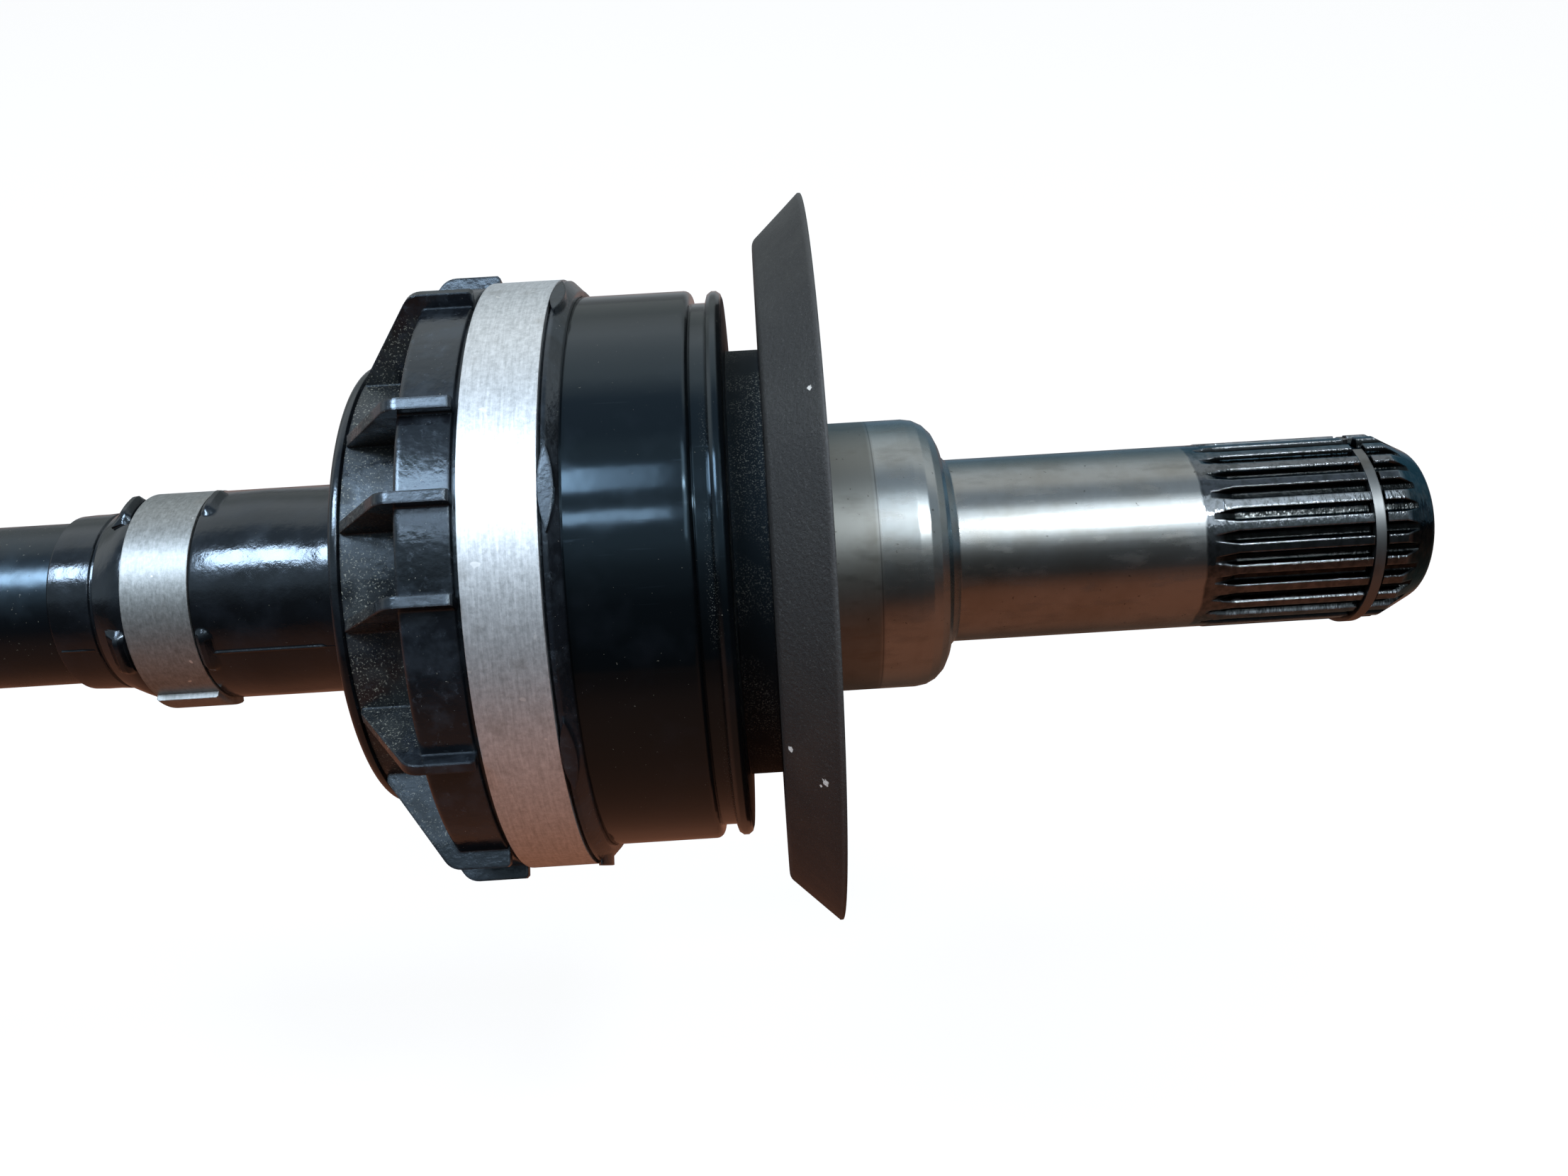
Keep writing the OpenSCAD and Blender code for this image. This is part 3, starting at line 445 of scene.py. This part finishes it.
def finished(name, mesh, material):
    """The mesh as an object with its material, smooth except at sharp corners."""
    data = bpy.data.meshes.new(name)
    mesh.to_mesh(data)
    mesh.free()
    data.materials.append(material)
    data.shade_smooth()
    data.set_sharp_from_angle(angle=radians(SHARP_CORNER))
    piece = bpy.data.objects.new(name, data)
    bpy.context.scene.collection.objects.link(piece)
    return piece


def turned(name, outline, material, steps=192):
    """Closed ring turned about the X axis from (x, radius) points in millimetres."""
    mesh = bmesh.new()
    rings = []
    for x, r in outline:
        turns = [2 * pi * i / steps for i in range(steps)]
        rings.append([mesh.verts.new((x * MM, r * MM * cos(turn), r * MM * sin(turn))) for turn in turns])
    for near, far in zip(rings, rings[1:] + rings[:1]):
        for i in range(steps):
            j = (i + 1) % steps
            mesh.faces.new((near[i], near[j], far[j], far[i]))
    bmesh.ops.recalc_face_normals(mesh, faces=mesh.faces)
    return finished(name, mesh, material)


def rounded_corner(x, r, radius, start, end, steps=8):
    """Points of a rounded corner about (x, r): 0 degrees points to +X and 90 straight outwards."""
    turns = [radians(start + (end - start) * i / steps) for i in range(steps + 1)]
    return [(x + radius * cos(turn), r + radius * sin(turn)) for turn in turns]


def joined(name, parts):
    """One object from several meshes, each keeping its own form."""
    mesh = bmesh.new()
    for part in parts:
        mesh.from_mesh(part.data)
    material = parts[0].data.materials[0]
    for part in parts:
        bpy.data.objects.remove(part)
    return finished(name, mesh, material)


LUG_WIDTH = 3.2
LUG_SWEEP = 28
LUG_PROFILE = ((0, -0.4), (0.06, 0.55), (0.28, 1.0), (0.5, 0.96), (1, -0.1), (1, -0.4))


def lug(x, r, height, middle, steep_front):
    """Moulded lug on a round face: a low fin with tapered ends, its steep side at its front or its back."""
    mesh = bmesh.new()
    rings = []
    steps = 12
    for i in range(steps + 1):
        share = i / steps
        tall = height * min(1.0, 4 * min(share, 1 - share) + 0.25)
        angle = radians(middle + (share - 0.5) * LUG_SWEEP)
        ring = []
        for along, up in LUG_PROFILE:
            station = x + LUG_WIDTH * (1 - along if steep_front else along)
            radius = (r + (up * tall if up > 0 else up)) * MM
            ring.append(mesh.verts.new((station * MM, radius * cos(angle), radius * sin(angle))))
        rings.append(ring)
    count = len(LUG_PROFILE)
    for near, far in zip(rings, rings[1:]):
        for i in range(count):
            mesh.faces.new((near[i], near[(i + 1) % count], far[(i + 1) % count], far[i]))
    mesh.faces.new(rings[0])
    mesh.faces.new(rings[-1])
    bmesh.ops.recalc_face_normals(mesh, faces=mesh.faces)
    return finished("lug", mesh, RUBBER)


def bead(x0, x1, r, angle, width, height):
    """Thin bead along the axis where the two halves of the mould met."""
    mesh = bmesh.new()
    rings = []
    for share in [i / 10 for i in range(11)]:
        station = (x0 + (x1 - x0) * share) * MM
        ring = []
        for across, up in ((-1, -0.2), (-0.2, 0.9), (0, 1), (0.2, 0.9), (1, -0.2)):
            turn = radians(angle) + across * width / 2 / r
            radius = (r + up * height) * MM
            ring.append(mesh.verts.new((station, radius * cos(turn), radius * sin(turn))))
        rings.append(ring)
    for near, far in zip(rings, rings[1:]):
        for i in range(len(near) - 1):
            mesh.faces.new((near[i], near[i + 1], far[i + 1], far[i]))
    bmesh.ops.recalc_face_normals(mesh, faces=mesh.faces)
    return finished("bead", mesh, RUBBER)


# Inner boot's rim, which sits on the cap
BOOT_IN = 13.15
BOOT_WALL = 2.0
RIM_IN = 30.95
RIM_OUT = 35.4
RIM_NOSE_R = 1.2
RIM_BACK = BOOT_FRONT + 1.8
rim_face = [(BOOT_FRONT + 0.4, RIM_IN - BOOT_WALL), (BOOT_FRONT, RIM_IN - BOOT_WALL + 0.4)]
rim_nose = rounded_corner(BOOT_FRONT + RIM_NOSE_R, RIM_OUT - RIM_NOSE_R, RIM_NOSE_R, 180, 90)
rim_back = [(BOOT_FRONT + 1.5, RIM_OUT), (RIM_BACK, RIM_OUT - 0.4), (RIM_BACK, RIM_IN - BOOT_WALL)]
rim = turned("inner_boot_rim", rim_face + rim_nose + rim_back, RUBBER)
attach(rim, "inner_housing")

# Inner boot's fold: four rings that meet on flat faces, and the crown rides the cage
FOLD_MIDDLE = -67.2
FOLD_CROWN = -63.0
NECK_BACK = -68.0
FRONT_LEG = ((RIM_BACK, RIM_IN - 1.0), (RIM_BACK + 1.4, 29.6), (RIM_BACK + 3.0, 28.8), (FOLD_MIDDLE, 27.6))
BACK_LEG = ((FOLD_MIDDLE, 27.6), (-65.8, 26.5), (-64.4, 25.3), (FOLD_CROWN, 24.0))
CROWN_OUTSIDE = ((FOLD_CROWN, 25.0), (-62.2, 24.1), (-61.5, 23.0), (-61.2, 21.9), (-61.3, 20.6),
                 (-61.8, 19.4), (FOLD_CROWN, 18.3))
CROWN_INSIDE = ((FOLD_CROWN, 20.3), (-62.9, 21.2), (-62.9, 22.2), (FOLD_CROWN, 23.0))
INNER_LEG = ((FOLD_CROWN, 19.3), (-64.6, 18.1), (-66.3, 17.0), (NECK_BACK, NECK_R - 1.0))


def fold_leg(name, line):
    """Ring of boot wall along its middle line, half a wall to either side."""
    half = BOOT_WALL / 2
    return turned(name, [(x, r + half) for x, r in line] + [(x, r - half) for x, r in line[::-1]], RUBBER)


fold_front = fold_leg("inner_boot_fold_front", FRONT_LEG)
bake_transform(fold_front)
fold_back = fold_leg("inner_boot_fold_back", BACK_LEG)
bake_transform(fold_back)
fold_crown = turned("inner_boot_fold_crown", CROWN_OUTSIDE + CROWN_INSIDE, RUBBER)
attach(fold_crown, "inner_cage")
fold_inner = fold_leg("inner_boot_fold_inner", INNER_LEG)
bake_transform(fold_inner)

# Inner boot's neck: end ring, tube with its groove line, ramp, seat for the band and the body behind the rim
TUBE_R = 14.2
SEAT_R = 16.12
LUGS = 4
LUG_TURN = 171
PARTINGS = (172, 352)
neck_end = [(BOOT_END + 0.5, BOOT_IN), (BOOT_END, BOOT_IN + 0.3), (BOOT_END, 13.75), (BOOT_END + 0.35, 14.1)]
neck_tube = [(BOOT_END + 2.2, TUBE_R), (BOOT_END + 4.2, TUBE_R), (BOOT_END + 5.6, 14.3),
             (BAND_BACK - 6.2, 14.35), (BAND_BACK - 5.95, 14.05), (BAND_BACK - 5.6, 14.05)]
neck_ramp = [(BAND_BACK - 5.35, 14.55), (BAND_BACK - 4.4, 15.0), (BAND_BACK - 2.8, 15.75),
             (BAND_BACK - 1.6, 16.25), (BAND_BACK - 0.8, 16.45), (BAND_BACK - 0.1, 16.5)]
neck_seat = [(BAND_BACK, SEAT_R), (BAND_FRONT, SEAT_R)]
neck_body = [(BAND_FRONT + 0.1, NECK_R - 0.15), (BAND_FRONT + 0.6, NECK_R), (BAND_FRONT + 9.0, NECK_R + 0.02),
             (BOOT_FRONT - 8.4, NECK_R + 0.02), (BOOT_FRONT - 7.6, NECK_R + 0.28),
             (BOOT_FRONT - 2.0, NECK_R + 0.34), (BOOT_FRONT - 0.5, NECK_R + 0.1), (BOOT_FRONT + 0.2, NECK_R),
             (NECK_BACK, NECK_R)]
neck_inside = [(NECK_BACK, NECK_R - BOOT_WALL), (BOOT_FRONT + 0.2, NECK_R - BOOT_WALL),
               (BOOT_FRONT + 0.2, BOOT_IN)]
neck_outline = neck_end + neck_tube + neck_ramp + neck_seat + neck_body + neck_inside
neck_parts = [turned("neck", neck_outline, RUBBER, 256)]
for i in range(LUGS):
    lug_middle = LUG_TURN + 360 // LUGS * i
    neck_parts.append(lug(BAND_FRONT + 0.15, 16.4, 1.5, lug_middle, False))
    neck_parts.append(lug(BAND_BACK - 3.4, 16.0, 1.75, lug_middle, True))
for parting in PARTINGS:
    neck_parts.append(bead(BAND_FRONT + 2.0, BOOT_FRONT - 3.0, NECK_R, parting, 0.75, 0.32))
    neck_parts.append(bead(BOOT_END + 1.0, BAND_BACK - 6.6, TUBE_R, parting, 0.5, 0.2))
neck = joined("inner_boot_neck", neck_parts)
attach(neck, "shaft")
for piece in (rim, fold_front, fold_back, fold_crown, fold_inner, neck):
    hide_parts("inner_boot")

# Outer boot: large cuff, six rounded folds that shrink towards the bar, small cuff
BOOT_SEAT = 42.45
CUFF_R = 45.0
SMALL_CUFF_R = 16.2
SMALL_SEAT_R = 15.65
BELLOWS = (BELL_MOUTH + 2.5, BELL_MOUTH + 70.5)
BELLOWS_HALF_WALL = 0.9
FOLDS = 6
FOLD_DEPTH = (9.0, 4.0)
FIRST_FOLDS = 0.3
BELLOWS_STEPS = 160
OUTER_STEPS = 160


def fold_middle(share):
    """Radius of the bellows' wall at a share of their length, in folds with full rounded crests."""
    big, small = FOLD_DEPTH
    large_end = CUFF_R - big / 2 - 1
    small_end = 13.1 + small / 2 + 2.5
    wave = cos(2 * pi * FOLDS * share)
    full = wave * abs(wave) ** -0.25 if abs(wave) > 0.02 else wave
    return large_end + (small_end - large_end) * share + (big + (small - big) * share) / 2 * full


def bellows(name, start, end):
    """Ring of folds between two shares of the bellows' length."""
    steps = int(BELLOWS_STEPS * (end - start))
    shares = [start + (end - start) * i / steps for i in range(steps + 1)]
    length = BELLOWS[1] - BELLOWS[0]
    outside = [(BELLOWS[0] + length * t, fold_middle(t) + BELLOWS_HALF_WALL) for t in shares]
    inside = [(x, r - 2 * BELLOWS_HALF_WALL) for x, r in outside]
    return turned(name, outside + inside[::-1], RUBBER, OUTER_STEPS)


large_outline = [
    (BELL_MOUTH - 14.95, BOOT_SEAT), (BELL_MOUTH - 14.95, CUFF_R - 0.6), (BELL_MOUTH - 14.4, CUFF_R),
    (BELL_MOUTH - 12.6, CUFF_R), (BELL_MOUTH - 12.3, CUFF_R - 0.35), (BELL_MOUTH - 2.7, CUFF_R - 0.35),
    (BELL_MOUTH - 2.4, CUFF_R), (BELL_MOUTH - 0.5, CUFF_R), (BELL_MOUTH + 1.5, CUFF_R - 0.2),
    (BELLOWS[0], fold_middle(0) + BELLOWS_HALF_WALL), (BELLOWS[0], fold_middle(0) - BELLOWS_HALF_WALL),
    (BELL_MOUTH + 0.3, BOOT_SEAT - 3.5), (BELL_MOUTH + 0.06, BOOT_SEAT - 2.0), (BELL_MOUTH + 0.06, BOOT_SEAT)]
large_cuff = turned("outer_boot_cuff_large", large_outline, RUBBER, OUTER_STEPS)
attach(large_cuff, "outer_housing")
large_folds = bellows("outer_boot_folds_large", 0.0, FIRST_FOLDS)
small_folds = bellows("outer_boot_folds_small", FIRST_FOLDS, 1.0)
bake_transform(large_folds)
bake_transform(small_folds)
small_outline = [
    (BELLOWS[1], BOOT_IN), (BELLOWS[1], fold_middle(1) + BELLOWS_HALF_WALL), (BELLOWS[1] + 2.0, 16.3),
    (BELLOWS[1] + 3.0, SMALL_CUFF_R), (BELLOWS[1] + 3.3, SMALL_SEAT_R), (BELLOWS[1] + 12.7, SMALL_SEAT_R),
    (BELLOWS[1] + 13.0, SMALL_CUFF_R), (BELLOWS[1] + 14.0, 15.9), (BELLOWS[1] + 14.0, BOOT_IN)]
small_cuff = turned("outer_boot_cuff_small", small_outline, RUBBER, OUTER_STEPS)
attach(small_cuff, "shaft")
for piece in (large_cuff, large_folds, small_folds, small_cuff):
    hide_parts("outer_boot")

# Crests of the wheel thread, which stand a little proud of the plain cylinder in the source
THREAD_PITCH = 1.5
THREAD_CREST = 0.25
THREAD_STEPS = 48
THREAD_FOOT_R = THREAD_R - 0.05


def thread_turns(name):
    """Right-hand turns from end to end of the thread, run out at both ends, broken at the split-pin hole."""
    start, end = THREAD
    mesh = bmesh.new()
    turns = (end - start) / THREAD_PITCH
    steps = int(THREAD_STEPS * turns)
    runs = [[]]
    for i in range(steps + 1):
        share = i / steps
        station = start + (end - start) * share
        turn = 2 * pi * turns * share
        if hypot(station - PIN_HOLE, THREAD_R * cos(turn)) < PIN_HOLE_R:
            if runs[-1]:
                runs.append([])
            continue
        crest = THREAD_R + THREAD_CREST * min(1.0, turns * min(share, 1 - share)) - 0.02
        ring = []
        for across, r in ((-0.46, THREAD_FOOT_R), (-0.08, crest), (0.08, crest), (0.46, THREAD_FOOT_R)):
            x = station + across * THREAD_PITCH
            ring.append(mesh.verts.new((x * MM, r * MM * cos(turn), r * MM * sin(turn))))
        runs[-1].append(ring)
    for rings in runs:
        for near, far in zip(rings, rings[1:]):
            for i in range(4):
                mesh.faces.new((near[i], near[(i + 1) % 4], far[(i + 1) % 4], far[i]))
        mesh.faces.new(rings[0])
        mesh.faces.new(rings[-1])
    bmesh.ops.recalc_face_normals(mesh, faces=mesh.faces)
    return finished(name, mesh, BELL_AND_STUB)


wheel_thread = thread_turns("wheel_thread_turns")
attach(wheel_thread, "outer_housing")

# The photograph's camera: how the axis lies in its view, where the part's origin lies in that view in metres
# but for a last shift along the axis in millimetres, and how far it looks down
YAW, ROLL, DOWN = radians(0.72), radians(3.49), radians(39.0)
ORIGIN_IN_VIEW = (0.01051, -0.00514, 0.20879)
LAST_SHIFT = 0.2
LENS = 29.06
along = Vector((cos(YAW) * cos(ROLL), -cos(YAW) * sin(ROLL), sin(YAW)))
centre = Vector(ORIGIN_IN_VIEW) + along * LAST_SHIFT * MM
foot = centre - along * centre.dot(along)
towards = -foot.normalized()
below = along.cross(towards)
from_view = Matrix((along, towards, below))
in_row = Matrix(((1, 0, 0), (0, -cos(DOWN), sin(DOWN)), (0, -sin(DOWN), -cos(DOWN)))).transposed()
to_part = in_row @ from_view
right, down, forward = (to_part @ Vector(axis) for axis in ((1, 0, 0), (0, 1, 0), (0, 0, 1)))
stand = in_row @ Vector((-centre.dot(along), foot.length, 0))
camera_data = bpy.data.cameras.new("camera")
camera_data.lens = LENS
camera_data.sensor_width = 36.0
camera_data.clip_start = 0.01
camera = bpy.data.objects.new("camera", camera_data)
camera.matrix_world = Matrix.Translation(stand) @ Matrix((right, -down, -forward)).transposed().to_4x4()
bpy.context.scene.collection.objects.link(camera)
bpy.context.scene.camera = camera

# Floor in metres, far enough below that no pose dips through it: the camera sees it white, and the metal
# sees the brown bench that the photograph reflects, paler behind the part
BENCH = "#7e4320"
BEHIND_BENCH = "#a9a7a4"
BENCH_EDGE = (0.2, 1.0)
PALE_IN_GLOSS = 0.01
FLOOR = -0.2
FLOOR_REACH = 60
FLOOR_GLOW = 0.85


def backdrop_share(tree, in_gloss):
    """1 for what the camera sees, and the given share for what gloss and clear surfaces show of the same."""
    paths = add(tree, "LightPath").outputs
    others = {0: paths["Is Glossy Ray"], 1: paths["Is Transmission Ray"]}
    either = add(tree, "Math", others, operation="MAXIMUM").outputs[0]
    shown = {0: either, 1: in_gloss, 2: paths["Is Camera Ray"]}
    return add(tree, "Math", shown, operation="MULTIPLY_ADD").outputs[0]


def plain_floor(name):
    """Dull floor that glows white to the camera, but keeps some of the part's shadow."""
    material, tree, shader = start_finish(name)
    seen = backdrop_share(tree, PALE_IN_GLOSS)
    behind = add(tree, "SeparateXYZ", {0: add(tree, "TexCoord").outputs["Object"]}).outputs[1]
    edge = {"Value": behind, "From Min": BENCH_EDGE[0], "From Max": BENCH_EDGE[1]}
    beyond = add(tree, "MapRange", edge).outputs[0]
    colour = layered(tree, BENCH, (BEHIND_BENCH, beyond), ("#ffffff", seen))
    plug(tree, shader, {"Base Color": colour, "Roughness": 0.9})
    white = add(tree, "Emission", {"Color": "#ffffff", "Strength": 1.0})
    share = add(tree, "Math", {0: seen, 1: FLOOR_GLOW}, operation="MULTIPLY").outputs[0]
    lit = add(tree, "MixShader", {0: share, 1: shader.outputs[0], 2: white.outputs[0]})
    tree.links.new(lit.outputs[0], tree.nodes["Material Output"].inputs["Surface"])
    return material


floor_mesh = bmesh.new()
corners = [(x * FLOOR_REACH, y * FLOOR_REACH, FLOOR) for x, y in ((-1, -1), (1, -1), (1, 1), (-1, 1))]
floor_mesh.faces.new([floor_mesh.verts.new(corner) for corner in corners])
floor = finished("floor", floor_mesh, plain_floor("plain floor"))

# Room round the part by height angle in degrees: 0 in front, 90 overhead, 180 behind
ROOM = ((0, "#38393a"), (26, "#474b4f"), (40, "#7d868c"), (49, "#b4c2cb"), (88, "#b4c2cb"), (94, "#9dacb9"),
        (110, "#a3b2c0"), (122, "#fbffff"), (148, "#f6fbfc"), (164, "#a9b1b1"), (180, "#9aa0a0"))


def light_room(name):
    """The world: white to the camera, and the room's greys by height angle to everything else."""
    world = bpy.data.worlds.new(name)
    bpy.context.scene.world = world
    world.use_nodes = True
    tree = world.node_tree
    direction = add(tree, "TexCoord").outputs["Generated"]
    back, up = add(tree, "SeparateXYZ", {0: direction}).outputs[1:]
    front = add(tree, "Math", {0: back, 1: -1.0}, operation="MULTIPLY").outputs[0]
    angle = add(tree, "Math", {0: up, 1: front}, operation="ARCTAN2").outputs[0]
    share = add(tree, "Math", {0: angle, 1: 1 / pi}, operation="MULTIPLY").outputs[0]
    greys = add(tree, "ValToRGB", {0: share})
    stops = greys.color_ramp.elements
    for degrees, _ in ROOM[1:-1]:
        stops.new(degrees / 180)
    for stop, (degrees, colour) in zip(sorted(stops, key=lambda each: each.position), ROOM):
        stop.position = degrees / 180
        stop.color = linear(colour)
    colour = layered(tree, greys.outputs[0], ("#ffffff", backdrop_share(tree, 0.0)))
    plug(tree, tree.nodes["Background"], {"Color": colour, "Strength": 1.0})


light_room("room")

# Metres from the part to every lamp
LAMP_DISTANCE = 1.2


def window(name, low, high, start, end, brightness, colour):
    """Lamp as long as a window from start to end along X in metres, between two height angles in degrees;
    brightness is its radiance."""
    lamp = bpy.data.lights.new(name, "AREA")
    lamp.shape = "RECTANGLE"
    lamp.size = end - start
    lamp.size_y = 2 * LAMP_DISTANCE * tan(radians((high - low) / 2))
    lamp.energy = pi * lamp.size * lamp.size_y * brightness
    lamp.color = linear(colour)[:3]
    middle = radians((low + high) / 2)
    back = Vector((0, -cos(middle), sin(middle)))
    side = Vector((1, 0, 0))
    place = Matrix.Translation(back * LAMP_DISTANCE + side * (start + end) / 2)
    holder = bpy.data.objects.new(name, lamp)
    holder.matrix_world = place @ Matrix((side, back.cross(side), back)).transposed().to_4x4()
    bpy.context.scene.collection.objects.link(holder)


window("upper pane's far end", 71, 88, -0.95, -0.54, 34, "#dcecff")
window("upper pane", 70, 79, -0.54, -0.20, 12, "#dcecff")
window("upper pane's shaded side", 70, 79, -0.20, -0.12, 4, "#dcecff")
window("lower pane", 57.5, 61.5, -0.50, -0.12, 9.5, "#e2efff")
window("right window", 50, 88, 0.10, 0.70, 2.4, "#e9f5ff")
window("small lamp", 70, 73, 0.26, 0.31, 60, "#f3f9ff")
window("far lamp", 63.5, 68, 0.40, 0.62, 110, "#f3f9ff")

bpy.context.scene.view_settings.view_transform = "Standard"
